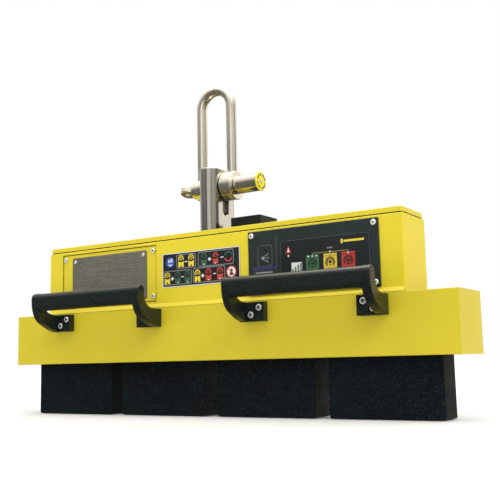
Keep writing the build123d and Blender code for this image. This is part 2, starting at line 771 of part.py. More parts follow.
with BuildPart() as keypad_overlay:
    front_plate(overlay_x, overlay_z, overlay_front, overlay_thickness, overlay_corner)
    for span in key_spans:
        window_x = inset(span, -key_gap)
        front_plate(window_x, inset(key_z, -key_gap), overlay_front, overlay_thickness, mode=Mode.SUBTRACT)
    front_plate(gauge_x, gauge_z, overlay_front, overlay_thickness, mode=Mode.SUBTRACT)
    for x, z in lamp_spots:
        front_rod(x, z, overlay_front, lamp_radius, overlay_thickness, Mode.SUBTRACT)
    warning_triangle(overlay_front, overlay_thickness, Mode.SUBTRACT)
keypad_overlay.part.label = "keypad_overlay"
export_step(keypad_overlay.part, "parts/keypad_overlay.step")

# Each key has a cap in its window, a wider flange behind the panel that keeps it in, and a stem towards
# its switch
key_front = overlay_front - key_proud
key_flange_front = housing_front + key_flange_gap
key_stem_front = key_flange_front + key_flange_thickness
key_stem_length = board_front - key_travel - board_clearance - key_stem_front
for name, span in zip(("green", "yellow", "red"), key_spans):
    with BuildPart() as key:
        front_plate(span, key_z, key_front, key_flange_front - key_front, key_corner)
        flange_x = inset(span, -key_flange)
        flange_z = inset(key_z, -key_flange)
        front_plate(flange_x, flange_z, key_flange_front, key_flange_thickness)
        front_rod(middle(span), key_mid_z, key_stem_front, key_stem_radius, key_stem_length)
    key.part.label = f"key_{name}"
    export_step(key.part, f"parts/key_{name}.step")

with BuildPart() as gauge_window:
    front_plate(gauge_x, gauge_z, overlay_front, window_depth)
gauge_window.part.label = "gauge_window"
export_step(gauge_window.part, "parts/gauge_window.step")

with BuildPart() as status_lamps:
    for x, z in lamp_spots:
        front_rod(x, z, overlay_front - lamp_proud, lamp_radius, window_depth + lamp_proud)
status_lamps.part.label = "status_lamps"
export_step(status_lamps.part, "parts/status_lamps.step")

with BuildPart() as warning_lamp:
    warning_triangle(overlay_front, window_depth)
warning_lamp.part.label = "warning_lamp"
export_step(warning_lamp.part, "parts/warning_lamp.step")

with BuildPart() as panel_screws:
    for x, z in panel_screw_spots:
        front_screw(x, z, panel_front, m4_pan, panel_thickness + housing_wall)
panel_screws.part.label = "panel_screws"
export_step(panel_screws.part, "parts/panel_screws.step")

# Sounder behind its port, on the back of the panel
sounder_depth = board_front - housing_front
with BuildPart() as sounder:
    front_rod(*sounder_centre, housing_front, sounder_radius, sounder_depth)
    port_depth = sounder_depth - sounder_wall
    front_rod(*sounder_centre, housing_front, sounder_port_radius, port_depth, Mode.SUBTRACT)
sounder.part.label = "sounder"
export_step(sounder.part, "parts/sounder.step")

# Control board on four standoffs behind the panel, with a processor and three key switches on it
board_hole_spots = corners(board_x, board_z, board_hole_inset, board_hole_inset)
board_back = board_front + board_thickness
with BuildPart() as control_board:
    front_plate(board_x, board_z, board_front, board_thickness)
    processor_x = about(middle(board_x), processor_size)
    processor_z = about(middle(board_z), processor_size)
    front_plate(processor_x, processor_z, board_back, processor_height)
    for x, z in board_hole_spots:
        front_rod(x, z, board_front, board_hole_radius, board_thickness, Mode.SUBTRACT)
    for x in key_x:
        switch_front = board_front - board_clearance / 2
        front_plate(about(x, switch_size), about(key_mid_z, switch_size), switch_front, board_clearance / 2)
control_board.part.label = "control_board"
export_step(control_board.part, "parts/control_board.step")

with BuildPart() as board_standoffs:
    for x, z in board_hole_spots:
        front_rod(x, z, housing_front, standoff_radius, board_front - housing_front)
        front_rod(x, z, board_front, board_hole_radius - screw_hole_gap, board_thickness)
        front_rod(x, z, board_back, standoff_radius, board_thickness)
board_standoffs.part.label = "board_standoffs"
export_step(board_standoffs.part, "parts/board_standoffs.step")

# ---------------------------------------------------------------- batteries and driver inside the housing

pack_z = (beam_top + pack_floor_gap, beam_top + pack_floor_gap + pack_size[2])
pack_y = about(housing_mid_y + bracket_sheet, pack_size[1])
for index, mid_x in enumerate(pack_x, start=1):
    with BuildPart() as battery_pack:
        block(about(mid_x, pack_size[0]), pack_y, pack_z, pack_corner)
    battery_pack.part.label = f"battery_pack_{index}"
    export_step(battery_pack.part, f"parts/battery_pack_{index}.step")

# Bent sheet bracket: a floor under the packs, a wall at each end and an ear over each outer edge
bracket_x = (pack_x[0] - pack_size[0] / 2 - bracket_sheet, pack_x[1] + pack_size[0] / 2 + bracket_sheet)
bracket_z = (beam_top, pack_z[1] + bracket_sheet)
with BuildPart() as battery_bracket:
    block(bracket_x, pack_y, (beam_top, beam_top + bracket_sheet))
    for end, inward in ((bracket_x[0], 1), (bracket_x[1], -1)):
        wall_x = sorted((end, end + inward * bracket_sheet))
        ear_x = sorted((end, end + inward * bracket_ear))
        block(wall_x, pack_y, bracket_z)
        block(ear_x, pack_y, (pack_z[1], bracket_z[1]))
battery_bracket.part.label = "battery_bracket"
export_step(battery_bracket.part, "parts/battery_bracket.step")

# Driver unit: a sealed case with cooling fins against the rear wall
driver_y = (inside_rear - driver_rear_gap - driver_size[1], inside_rear - driver_rear_gap)
driver_x = about(driver_mid_x, driver_size[0])
fin_pitch = driver_size[0] / driver_fin_count
with BuildPart() as driver_unit:
    block(driver_x, driver_y, (beam_top, beam_top + driver_size[2]), driver_corner)
    for fin in range(1, driver_fin_count):
        groove_x = about(driver_x[0] + fin * fin_pitch, fin_pitch - driver_fin_width)
        groove_y = (driver_y[1] - driver_fin_depth, driver_y[1])
        groove_z = (beam_top + driver_fin_width, beam_top + driver_size[2])
        block(groove_x, groove_y, groove_z, mode=Mode.SUBTRACT)
driver_unit.part.label = "driver_unit"
export_step(driver_unit.part, "parts/driver_unit.step")

# Charging socket on the left end, with its screw cap on
socket_face = housing_x[0]
with BuildPart() as charge_socket:
    flange_y = about(housing_mid_y, socket_flange)
    flange_z = about(socket_mid_z, socket_flange)
    block((socket_face - socket_flange_thickness, socket_face), flange_y, flange_z)
    side_rod(socket_face, housing_mid_y, socket_mid_z, socket_barrel_radius, socket_barrel_length)
    cap_start = socket_face - socket_flange_thickness
    side_rod(cap_start, housing_mid_y, socket_mid_z, socket_cap_radius, -socket_cap_length)
    chamfer(charge_socket.faces().sort_by(Axis.X)[0].edges(), socket_cap_bevel)
charge_socket.part.label = "charge_socket"
export_step(charge_socket.part, "parts/charge_socket.step")

# ---------------------------------------------------------------- lifting lug

lug_flange_top = beam_top + lug_flange_thickness
slot_radius = pin_radius + slot_clearance
slot_length = pin_travel + 2 * slot_radius
slot_mid_z = pin_height - pin_travel / 2
slot_y = about(lug_mid_y, 2 * slot_radius)
slot_z = about(slot_mid_z, slot_length)
with BuildPart() as lifting_lug:
    with BuildSketch(Plane.XY.offset(beam_top)):
        with Locations((0, lug_mid_y)):
            SlotOverall(lug_depth, lug_width, rotation=90)
    extrude(amount=lug_top - beam_top)
    fillet(lifting_lug.faces().sort_by(Axis.Z)[-1].edges(), lug_top_radius)
    flange_x = about(0, lug_flange_length)
    flange_y = about(lug_mid_y, lug_depth)
    block(flange_x, flange_y, (beam_top, lug_flange_top), lug_flange_corner)
    with BuildSketch(Plane.YZ.offset(-lug_width / 2)):
        with Locations((lug_mid_y, slot_mid_z)):
            SlotOverall(slot_length, 2 * slot_radius, rotation=90)
    extrude(amount=lug_width, mode=Mode.SUBTRACT)
    slot_edges = lifting_lug.edges()
    slot_edges = slot_edges.filter_by_position(Axis.Y, *inset(slot_y, -edge_tolerance))
    slot_edges = slot_edges.filter_by_position(Axis.Z, *inset(slot_z, -edge_tolerance))
    slot_edges = slot_edges.filter_by(lambda edge: abs(edge.center().X) > edge_tolerance)
    chamfer(slot_edges, slot_bevel)
    for x, y in lug_bolt_spots:
        upright_rod(x, y, beam_top, m12_cap[2] + screw_hole_gap, lug_flange_thickness, Mode.SUBTRACT)
lifting_lug.part.label = "lifting_lug"
export_step(lifting_lug.part, "parts/lifting_lug.step")

# Bolts through the lug's flange and the beam's top, each with a nut inside the beam
nut_top = beam_top - beam_top_thickness
lug_bolt_length = lug_flange_thickness + beam_top_thickness + hex_nut_height
with BuildPart() as lug_fasteners:
    for x, y in lug_bolt_spots:
        with BuildSketch(Plane.XY.offset(nut_top)):
            with Locations((x, y)):
                RegularPolygon(hex_nut_radius, 6)
                Circle(m12_cap[2] + screw_hole_gap, mode=Mode.SUBTRACT)
        extrude(amount=-hex_nut_height)
        top_screw(x, y, lug_flange_top, m12_cap, lug_bolt_length)
lug_fasteners.part.label = "lug_fasteners"
export_step(lug_fasteners.part, "parts/lug_fasteners.step")

# ---------------------------------------------------------------- shackle, load pin and load sensor

# Bow: a round bar bent to a U, welded onto a round boss on each side of the lug
bow_radius = bow_leg_spacing / 2
crown_z = bow_bend_height + bow_radius
leg_foot_z = pin_height + bow_leg_foot
boss_inner_x = lug_width / 2 + boss_gap
left_boss_end = -boss_inner_x - left_boss_length
right_boss_end = boss_inner_x + right_boss_length
left_leg_x = bow_shift - bow_radius
right_leg_x = bow_shift + bow_radius
with BuildPart() as shackle_bow:
    side_rod(-boss_inner_x, lug_mid_y, pin_height, left_boss_radius, -left_boss_length)
    side_rod(boss_inner_x, lug_mid_y, pin_height, right_boss_radius, right_boss_length)
    chamfer(shackle_bow.edges().filter_by(GeomType.CIRCLE), boss_bevel)
    with BuildLine(Plane.XZ.offset(-lug_mid_y)) as bow_path:
        left_leg = Line((left_leg_x, leg_foot_z), (left_leg_x, bow_bend_height))
        crown = ThreePointArc(left_leg @ 1, (bow_shift, crown_z), (right_leg_x, bow_bend_height))
        Line(crown @ 1, (right_leg_x, leg_foot_z))
    with BuildSketch(Plane(origin=(left_leg_x, lug_mid_y, leg_foot_z), z_dir=(0, 0, 1))):
        Circle(bow_bar_radius)
    sweep(path=bow_path.line)
    hole_radius = pin_radius + pin_running_clearance
    hole_length = right_boss_end - left_boss_end
    side_rod(left_boss_end, lug_mid_y, pin_height, hole_radius, hole_length, Mode.SUBTRACT)
shackle_bow.part.label = "shackle_bow"
export_step(shackle_bow.part, "parts/shackle_bow.step")

# Pin: a shaft with a collar and a flat eye at its left end; its right end carries the load sensor's sleeve
pin_left = left_boss_end - side_gap
sleeve_start = right_boss_end + side_gap
sleeve_end = sleeve_start + sleeve_length
thread_end = sleeve_start + sleeve_thread_length
collar_end = pin_left - collar_length
eye_x = collar_end - eye_past_collar
tilt = math.radians(eye_tilt)
eye_normal = (0, math.sin(tilt), math.cos(tilt))
eye_plane = Plane(origin=(0, lug_mid_y, pin_height), x_dir=(1, 0, 0), z_dir=eye_normal)
with BuildPart() as load_pin:
    with BuildSketch(eye_plane.offset(-eye_thickness / 2)):
        with Locations((eye_x, 0)):
            Circle(eye_radius)
        with Locations(((eye_x + collar_end) / 2, 0)):
            Rectangle(collar_end - eye_x, eye_neck_width)
    extrude(amount=eye_thickness)
    rounded_end = load_pin.edges().filter_by_position(Axis.X, eye_x - eye_radius, collar_end - edge_tolerance)
    fillet(rounded_end.filter_by(lambda edge: edge.length > eye_thickness + edge_tolerance), eye_edge_radius)
    with BuildSketch(eye_plane.offset(-eye_thickness / 2)):
        with Locations((eye_x, 0)):
            Circle(eye_hole_radius)
    extrude(amount=eye_thickness, mode=Mode.SUBTRACT)
    side_rod(collar_end, lug_mid_y, pin_height, collar_radius, collar_length)
    side_rod(pin_left, lug_mid_y, pin_height, pin_radius, thread_end - pin_left)
load_pin.part.label = "load_pin"
export_step(load_pin.part, "parts/load_pin.step")

with BuildPart() as sensor_sleeve:
    side_rod(sleeve_start, lug_mid_y, pin_height, sleeve_radius, sleeve_length)
    chamfer(sensor_sleeve.faces().sort_by(Axis.X)[0].edges(), sleeve_edge)
    thread_radius = pin_radius + pin_running_clearance
    side_rod(sleeve_start, lug_mid_y, pin_height, thread_radius, sleeve_thread_length, Mode.SUBTRACT)
    cavity_run = sleeve_end - thread_end
    side_rod(thread_end, lug_mid_y, pin_height, sleeve_cavity_radius, cavity_run, Mode.SUBTRACT)
sensor_sleeve.part.label = "sensor_sleeve"
export_step(sensor_sleeve.part, "parts/sensor_sleeve.step")

with BuildPart() as sensor_cap:
    side_rod(sleeve_end, lug_mid_y, pin_height, sleeve_radius, sensor_cap_thickness)
    chamfer(sensor_cap.faces().sort_by(Axis.X)[-1].edges(), sensor_cap_bevel)
    hole_radius = m4_pan[2] + screw_hole_gap
    side_rod(sleeve_end, lug_mid_y, pin_height, hole_radius, sensor_cap_thickness, Mode.SUBTRACT)
sensor_cap.part.label = "sensor_cap"
export_step(sensor_cap.part, "parts/sensor_cap.step")

cap_face = sleeve_end + sensor_cap_thickness
with BuildPart() as sensor_cap_screw:
    side_rod(cap_face, lug_mid_y, pin_height, m3_pan[0], m3_pan[1])
    side_rod(thread_end, lug_mid_y, pin_height, m4_pan[2], cap_face - thread_end)
    with BuildSketch(Plane.YZ.offset(cap_face + m3_pan[1])):
        with Locations((lug_mid_y, pin_height)):
            RegularPolygon(m4_pan[3], 6)
    extrude(amount=-m3_pan[4], mode=Mode.SUBTRACT)
sensor_cap_screw.part.label = "sensor_cap_screw"
export_step(sensor_cap_screw.part, "parts/sensor_cap_screw.step")

# ---------------------------------------------------------------- remote receiver on the cover

receiver_y = [beam_front + y for y in receiver_y_from_beam_front]
with BuildPart() as remote_receiver:
    block(receiver_x, receiver_y, (cover_top, cover_top + receiver_height), receiver_corner)
    fillet(remote_receiver.faces().sort_by(Axis.Z)[-1].edges(), receiver_edge_radius)
remote_receiver.part.label = "remote_receiver"
export_step(remote_receiver.part, "parts/remote_receiver.step")

# ---------------------------------------------------------------- carrying handles

grip_front = beam_front - handle_reach
grip_back = grip_front + grip_depth
grip_radius = grip_depth / 2
grip_mid_y = grip_front + grip_radius
grip_arc_z = handle_top_z - grip_radius
grip_low_arc_z = handle_top_z - grip_height + grip_radius


def arm_section(side_x, width):
    """The side view of a handle's end arm: from its foot on the beam out, up and round the grip's end."""
    foot_bottom, foot_top = handle_foot_z
    with BuildSketch(Plane.YZ.offset(side_x)) as outline:
        with BuildLine():
            outer = Spline(
                (grip_front, grip_arc_z - arm_front_drop),
                *[(grip_front + out, foot_bottom + up) for out, up in arm_front_curve],
                (beam_front, foot_bottom),
                tangents=[(0, -1), (1, arm_foot_slope)],
            )
            wall = Line(outer @ 1, (beam_front, foot_top))
            shelf = Line(wall @ 1, (beam_front - arm_shelf, foot_top))
            rear = Spline(shelf @ 1, (grip_back, foot_top + arm_rear_rise), tangents=[(-1, 0), (0, 1)])
            back = Line(rear @ 1, (grip_back, grip_arc_z))
            top = ThreePointArc(back @ 1, (grip_mid_y, handle_top_z), (grip_front, grip_arc_z))
            Line(top @ 1, outer @ 0)
        make_face()
    extrude(outline.sketch, amount=width)


def rim_edges(part, x):
    """The edges of a handle's arm that lie in its outer side face, apart from those on the beam."""
    rim = part.edges().filter_by_position(Axis.X, x - edge_tolerance, x + edge_tolerance)
    return rim.filter_by(lambda edge: edge.center().Y < beam_front - edge_tolerance)


foot_front = beam_front - handle_foot_thickness
recess_depth = handle_reach - handle_foot_thickness + handle_screw_recess
for name, mid_x in zip(("left", "right"), handle_centres):
    ends = (mid_x - handle_half_length, mid_x + handle_half_length - handle_arm_width)
    with BuildPart() as handle:
        for start_x in ends:
            arm_section(start_x, handle_arm_width)
        fillet(rim_edges(handle, ends[0]) + rim_edges(handle, ends[1] + handle_arm_width), handle_edge_radius)
        with BuildSketch(Plane.YZ.offset(ends[0] + handle_arm_width / 2)):
            with Locations((grip_mid_y, (grip_arc_z + grip_low_arc_z) / 2)):
                SlotOverall(grip_height - 2 * grip_step, grip_depth - 2 * grip_step, rotation=90)
        extrude(amount=2 * handle_half_length - handle_arm_width)
        for side in (-1, 1):
            foot_x = sorted((mid_x + side * handle_foot_inner, mid_x + side * handle_half_length))
            front_plate(foot_x, handle_foot_z, foot_front, handle_foot_thickness)
            for spot_x, spot_z in handle_screw_spots:
                x = mid_x + side * spot_x
                z = handle_foot_z[0] + spot_z
                hole_radius = m6_cap[2] + screw_hole_gap
                front_rod(x, z, foot_front, hole_radius, handle_foot_thickness, Mode.SUBTRACT)
                front_rod(x, z, grip_front, handle_screw_recess_radius, recess_depth, Mode.SUBTRACT)
    handle.part.label = f"handle_{name}"
    export_step(handle.part, f"parts/handle_{name}.step")

screw_seat = beam_front - handle_foot_thickness + handle_screw_recess
handle_screw_length = beam_front + beam_wall - screw_seat
with BuildPart() as handle_screws:
    for x, z in handle_screws_at:
        front_screw(x, z, screw_seat, m6_cap, handle_screw_length)
handle_screws.part.label = "handle_screws"
export_step(handle_screws.part, "parts/handle_screws.step")
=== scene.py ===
import json
import math

import bmesh
import bpy
from mathutils import Matrix, Vector


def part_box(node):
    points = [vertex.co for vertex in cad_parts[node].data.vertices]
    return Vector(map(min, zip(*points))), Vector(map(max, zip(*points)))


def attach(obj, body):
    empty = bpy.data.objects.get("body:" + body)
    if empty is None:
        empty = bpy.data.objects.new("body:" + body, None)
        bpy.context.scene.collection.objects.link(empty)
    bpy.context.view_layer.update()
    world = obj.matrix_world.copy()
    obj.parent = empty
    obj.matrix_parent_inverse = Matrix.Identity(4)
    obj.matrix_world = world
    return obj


# Looks of the battery lifting magnet. Metres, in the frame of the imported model: +X along the beam to the
# right, +Y from the control side to the rear, +Z up from the plane of the pole faces.

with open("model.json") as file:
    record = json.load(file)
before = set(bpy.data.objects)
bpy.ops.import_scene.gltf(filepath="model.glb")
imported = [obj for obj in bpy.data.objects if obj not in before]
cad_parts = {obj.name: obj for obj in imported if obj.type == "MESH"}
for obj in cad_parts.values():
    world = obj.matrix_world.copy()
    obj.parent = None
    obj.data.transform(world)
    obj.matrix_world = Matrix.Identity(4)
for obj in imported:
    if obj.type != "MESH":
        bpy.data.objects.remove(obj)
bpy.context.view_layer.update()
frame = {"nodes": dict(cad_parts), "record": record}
scene = bpy.context.scene
nodes = frame["nodes"]
MM = 0.001
EDGE_DOTS = (0.97, 0.55)  # the true normal times the rounded one, where the paler edge (wear and painted highlight) starts and where it is full
SEAM_OPENNESS = (0.60, 0.30)  # how open a place is where the painted seam shade starts and where it is full
# how open a place is where the painted shade in a screw's socket starts and where it is full
SOCKET_OPENNESS = (0.72, 0.42)

# ---------------------------------------------------------------- material helpers


def new_material(name):
    material = bpy.data.materials.new(name)
    material.use_nodes = True
    return material, material.node_tree, material.node_tree.nodes["Principled BSDF"]


def add(tree, kind, **values):
    node = tree.nodes.new(kind)
    for key, value in values.items():
        setattr(node, key, value)
    return node


def place(tree, stretch=(1, 1, 1)):
    """The object's own coordinates, scaled per axis so that a pattern can run along one of them."""
    coords = add(tree, "ShaderNodeTexCoord")
    mapping = add(tree, "ShaderNodeMapping")
    mapping.inputs["Scale"].default_value = stretch
    tree.links.new(coords.outputs["Object"], mapping.inputs["Vector"])
    return mapping.outputs["Vector"]


def noise(tree, scale, detail=3.0, stretch=(1, 1, 1), roughness=0.5):
    node = add(tree, "ShaderNodeTexNoise")
    node.inputs["Scale"].default_value = scale
    node.inputs["Detail"].default_value = detail
    node.inputs["Roughness"].default_value = roughness
    tree.links.new(place(tree, stretch), node.inputs["Vector"])
    return node.outputs["Fac"]


def remap(tree, source, from_span, to_span):
    node = add(tree, "ShaderNodeMapRange")
    node.inputs["From Min"].default_value = from_span[0]
    node.inputs["From Max"].default_value = from_span[1]
    node.inputs["To Min"].default_value = to_span[0]
    node.inputs["To Max"].default_value = to_span[1]
    tree.links.new(source, node.inputs["Value"])
    return node.outputs["Result"]


def mix_colour(tree, factor, first, second):
    """Mixes two colours or sockets by factor."""
    node = add(tree, "ShaderNodeMix", data_type="RGBA")
    tree.links.new(factor, node.inputs["Factor"])
    for socket, value in ((node.inputs[6], first), (node.inputs[7], second)):
        if isinstance(value, (tuple, list)):
            socket.default_value = (*value, 1)
        else:
            tree.links.new(value, socket)
    return node.outputs[2]


def scaled(colour, factor):
    return tuple(min(1.0, part * factor) for part in colour)


def combine(tree, operation, first, second=0.0):
    """A Math node on two numbers or sockets."""
    node = add(tree, "ShaderNodeMath", operation=operation)
    for socket, value in zip(node.inputs, (first, second)):
        if isinstance(value, (int, float)):
            socket.default_value = value
        else:
            tree.links.new(value, socket)
    return node.outputs[0]


def edge_mask(tree, radius):
    """1 on edges that a cloth, a hand or a load rubs, 0 on flat faces; coats are paler there partly from wear
    and partly as a painted highlight.
    """
    bevel = add(tree, "ShaderNodeBevel", samples=6)
    bevel.inputs["Radius"].default_value = radius
    geometry = add(tree, "ShaderNodeNewGeometry")
    dot = add(tree, "ShaderNodeVectorMath", operation="DOT_PRODUCT")
    tree.links.new(bevel.outputs["Normal"], dot.inputs[0])
    tree.links.new(geometry.outputs["Normal"], dot.inputs[1])
    return remap(tree, dot.outputs["Value"], EDGE_DOTS, (0, 1))


def recess_mask(tree, reach, openness):
    """1 deep in a recess such as a screw's socket or a seam, 0 on open faces: where shade is painted."""
    occlusion = add(tree, "ShaderNodeAmbientOcclusion", samples=8)
    occlusion.inputs["Distance"].default_value = reach
    return remap(tree, occlusion.outputs["AO"], openness, (0, 1))


def bump(tree, shader, heights):
    """Chains bumps on the shader's normal: each is (height socket, strength, distance in metres)."""
    last = None
    for height, strength, distance in heights:
        node = add(tree, "ShaderNodeBump")
        node.inputs["Strength"].default_value = strength
        node.inputs["Distance"].default_value = distance
        tree.links.new(height, node.inputs["Height"])
        if last:
            tree.links.new(last, node.inputs["Normal"])
        last = node.outputs["Normal"]
    tree.links.new(last, shader.inputs["Normal"])


def coat(name, colour, roughness, grain, mottle=0.05, edge=None, specular=0.5, seam_shade=None, fleck=None):
    """Paint, plastic, resin or rubber: a slow change of colour, grain in the normal and a varied gloss.

    grain is (scale, strength, depth) of the bump, edge is (colour, radius, amount) of the paler edges, partly
    wear and partly a painted highlight, seam_shade is (colour, reach) of the painted shade in seams, and
    fleck is (colour, scale) of fine lighter spots.
    """
    material, tree, shader = new_material(name)
    grain_scale, grain_strength, grain_depth = grain
    slow = noise(tree, 9.0, 4.0)
    fine = noise(tree, grain_scale, 2.0)
    slow_span = remap(tree, slow, (0.3, 0.7), (0, 1))
    base = mix_colour(tree, slow_span, scaled(colour, 1 - mottle), scaled(colour, 1 + mottle))
    speck = remap(tree, fine, (0.35, 0.75), (0, 1))
    base = mix_colour(tree, combine(tree, "MULTIPLY", speck, 0.25), base, scaled(colour, 1 + 2 * mottle))
    if fleck:
        fleck_colour, fleck_scale = fleck
        spots = remap(tree, noise(tree, fleck_scale, 1.0), (0.52, 0.68), (0, 1))
        base = mix_colour(tree, spots, base, fleck_colour)
    # Paler edges: partly wear and partly a painted highlight.
    if edge:
        edge_colour, edge_radius, edge_amount = edge
        worn_and_lit_edge = edge_mask(tree, edge_radius)
        patchy = remap(tree, noise(tree, 60.0, 3.0), (0.3, 0.7), (0.35, 1))
        worn_and_lit_edge = combine(tree, "MULTIPLY", worn_and_lit_edge, patchy)
        worn_and_lit_edge = combine(tree, "MULTIPLY", worn_and_lit_edge, edge_amount)
        base = mix_colour(tree, worn_and_lit_edge, base, edge_colour)
    # Painted shade: a dark yellow deep in seams, where the occlusion is strongest.
    if seam_shade:
        seam_shade_colour, seam_shade_reach = seam_shade
        base = mix_colour(tree, recess_mask(tree, seam_shade_reach, SEAM_OPENNESS), base, seam_shade_colour)
    tree.links.new(base, shader.inputs["Base Color"])
    smudges = remap(tree, noise(tree, 28.0, 4.0), (0.25, 0.75), (roughness * 0.85, roughness * 1.2))
    tree.links.new(smudges, shader.inputs["Roughness"])
    shader.inputs["Specular IOR Level"].default_value = specular
    bump(tree, shader, [(fine, grain_strength, grain_depth)])
    return material


def metal(name, colour, roughness, stretch, streak_scale, depth=0.25, tint=0.25,
          socket_shade=None, metallic=1.0, lit_sides=None):
    """Bare metal with polishing or turning marks that run along the axes with a small stretch.

    socket_shade is how far into a recess the painted shade reaches, and lit_sides is (x, colour) of the faces
    further out than x, which are painted lighter: painted light.
    """
    material, tree, shader = new_material(name)
    streaks = noise(tree, streak_scale, 4.0, stretch, 0.65)
    slow = noise(tree, 35.0, 3.0)
    span = remap(tree, streaks, (0.3, 0.7), (0, 1))
    base = mix_colour(tree, span, scaled(colour, 1 - tint), scaled(colour, 1 + tint * 0.6))
    cloud = remap(tree, slow, (0.35, 0.7), (0, 0.5))
    base = mix_colour(tree, cloud, base, scaled(colour, 0.8))
    # Painted light: the faces further out than x get a lighter tone of the metal.
    if lit_sides:
        from_x, side_colour = lit_sides
        split = add(tree, "ShaderNodeSeparateXYZ")
        tree.links.new(place(tree), split.inputs[0])
        out_there = combine(tree, "GREATER_THAN", combine(tree, "ABSOLUTE", split.outputs["X"]), from_x)
        side_tone = mix_colour(tree, span, scaled(side_colour, 0.9), scaled(side_colour, 1.1))
        base = mix_colour(tree, out_there, base, side_tone)
    # Painted shade: nearly black deep in recesses such as screw sockets.
    if socket_shade:
        base = mix_colour(tree, recess_mask(tree, socket_shade, SOCKET_OPENNESS), base, scaled(colour, 0.06))
    tree.links.new(base, shader.inputs["Base Color"])
    gloss = remap(tree, streaks, (0.25, 0.75), (roughness * 0.7, roughness * 1.4))
    tree.links.new(gloss, shader.inputs["Roughness"])
    shader.inputs["Metallic"].default_value = metallic
    bump(tree, shader, [(streaks, depth, 0.0002)])
    return material


# ---------------------------------------------------------------- materials of the CAD nodes

YELLOW = (0.68, 0.55, 0.022)
# A pale yellow for the paint's edges: a painted highlight along them.
YELLOW_EDGE_HIGHLIGHT = (0.95, 0.86, 0.26)
POWDER_GRAIN = (520.0, 0.22, 0.0004)
FILM_GRAIN = (700.0, 0.3, 0.0003)
FINE_GRAIN = (1400.0, 0.12, 0.0002)
# The dark yellow of the painted shade in seams, and how far it reaches.
SEAM_SHADE = ((0.085, 0.062, 0.008), 0.0030)
KEY_GREEN = (0.035, 0.150, 0.055)
KEY_YELLOW = (0.72, 0.50, 0.018)
KEY_RED = (0.50, 0.022, 0.020)
LUG_SIDE_X = 0.0142  # just inside the lug's two side faces


def yellow_paint(name, brightness, roughness, edge_radius, edge_amount):
    """Powder coat, paler on its edges as a painted highlight, and with painted shade in its seams."""
    return coat(name, scaled(YELLOW, brightness), roughness, POWDER_GRAIN, mottle=0.045,
                edge=(YELLOW_EDGE_HIGHLIGHT, edge_radius, edge_amount), specular=0.24, seam_shade=SEAM_SHADE)


materials = {
    # The beam's yellow is a darker copy and the housing's and cover's are lighter copies of one paint:
    # painted shade low down, painted light higher up.
    "beam_paint": yellow_paint("yellow_beam", 0.95, 0.45, 0.0014, 0.9),
    "housing_paint": yellow_paint("yellow_housing", 1.12, 0.42, 0.0010, 0.8),
    "cover_paint": yellow_paint("yellow_cover", 1.08, 0.42, 0.0008, 0.8),
    "black_coat": coat("pole_black", (0.0026, 0.0046, 0.0066), 0.6, (300.0, 1.0, 0.0015), mottle=0.45,
                       edge=((0.085, 0.095, 0.090), 0.0011, 0.7), specular=0.12,
                       fleck=((0.0085, 0.0185, 0.0230), 560.0)),
    "core_steel": metal("core_steel", (0.36, 0.35, 0.33), 0.38, (1, 0.04, 1), 900.0),
    "copper": metal("copper_wire", (0.62, 0.27, 0.12), 0.35, (1, 1, 12), 120.0),
    "resin": coat("potting_resin", (0.012, 0.012, 0.014), 0.38, (160.0, 0.2, 0.0005), 0.2),
    # The screws' sockets get painted shade.
    "zinc_screw": metal("bright_zinc", (0.93, 0.91, 0.86), 0.26, (1, 1, 1), 500.0, depth=0.15, tint=0.12,
                        socket_shade=0.0040, metallic=0.30),
    "seal_rubber": coat("seal_rubber", (0.010, 0.010, 0.009), 0.7, FILM_GRAIN, 0.2),
    # The lug's side faces are a lighter copy of the steel: painted light.
    "satin_stainless": metal("lug_stainless", (0.56, 0.545, 0.50), 0.17, (1, 1, 0.012), 420.0, tint=0.40,
                             lit_sides=(LUG_SIDE_X, (0.64, 0.62, 0.575))),
    "label_black": coat("label_film", (0.010, 0.012, 0.016), 0.35, FINE_GRAIN, 0.1),
    "panel_black": coat("panel_film", (0.0088, 0.0215, 0.0208), 0.42, FILM_GRAIN, mottle=0.35,
                        edge=((0.09, 0.10, 0.10), 0.0006, 0.5)),
    "overlay_film": coat("overlay_film", (0.0075, 0.0130, 0.0150), 0.36, (700.0, 0.25, 0.0003), mottle=0.35),
    "key_green": coat("key_green", KEY_GREEN, 0.45, FINE_GRAIN, 0.08),
    "key_yellow": coat("key_yellow", KEY_YELLOW, 0.45, FINE_GRAIN, 0.06),
    "key_red": coat("key_red", KEY_RED, 0.45, FINE_GRAIN, 0.08),
    "gauge_film": coat("gauge_film", (0.72, 0.76, 0.68), 0.4, FINE_GRAIN, 0.03),
    "lamp_white": coat("lamp_white", (0.78, 0.80, 0.78), 0.2, FINE_GRAIN, 0.03),
    "lamp_red": coat("lamp_red", (0.55, 0.05, 0.035), 0.25, FINE_GRAIN, 0.05),
    "black_plastic": coat("black_plastic", (0.006, 0.0068, 0.0075), 0.5, (600.0, 0.3, 0.0004), mottle=0.2,
                          edge=((0.06, 0.06, 0.06), 0.0010, 0.5), specular=0.3),
    "board_green": coat("board_green", (0.012, 0.10, 0.035), 0.4, (300.0, 0.2, 0.0003), 0.15),
    "battery_case": coat("battery_case", (0.03, 0.05, 0.09), 0.3, (80.0, 0.2, 0.0005), 0.15),
    "zinc_sheet": metal("zinc_sheet", (0.50, 0.50, 0.49), 0.4, (1, 1, 1), 60.0),
    "driver_alloy": metal("driver_alloy", (0.42, 0.43, 0.44), 0.45, (1, 1, 1), 300.0),
    "cap_yellow": coat("cap_yellow", (0.80, 0.70, 0.012), 0.35, FINE_GRAIN, 0.04),
    "handle_black": coat("handle_nylon", (0.0066, 0.0108, 0.0098), 0.26, (520.0, 0.5, 0.0006), mottle=0.30,
                         edge=((0.05, 0.055, 0.05), 0.0012, 0.5), specular=0.42,
                         fleck=((0.0125, 0.0215, 0.0195), 560.0)),
}

DASH_MARGINS = (0.012, 0.015)  # from the plate's left and right ends
DASH_PITCH = 0.0042
DASH_SHARE = 0.38  # of each row's pitch that its dashes fill


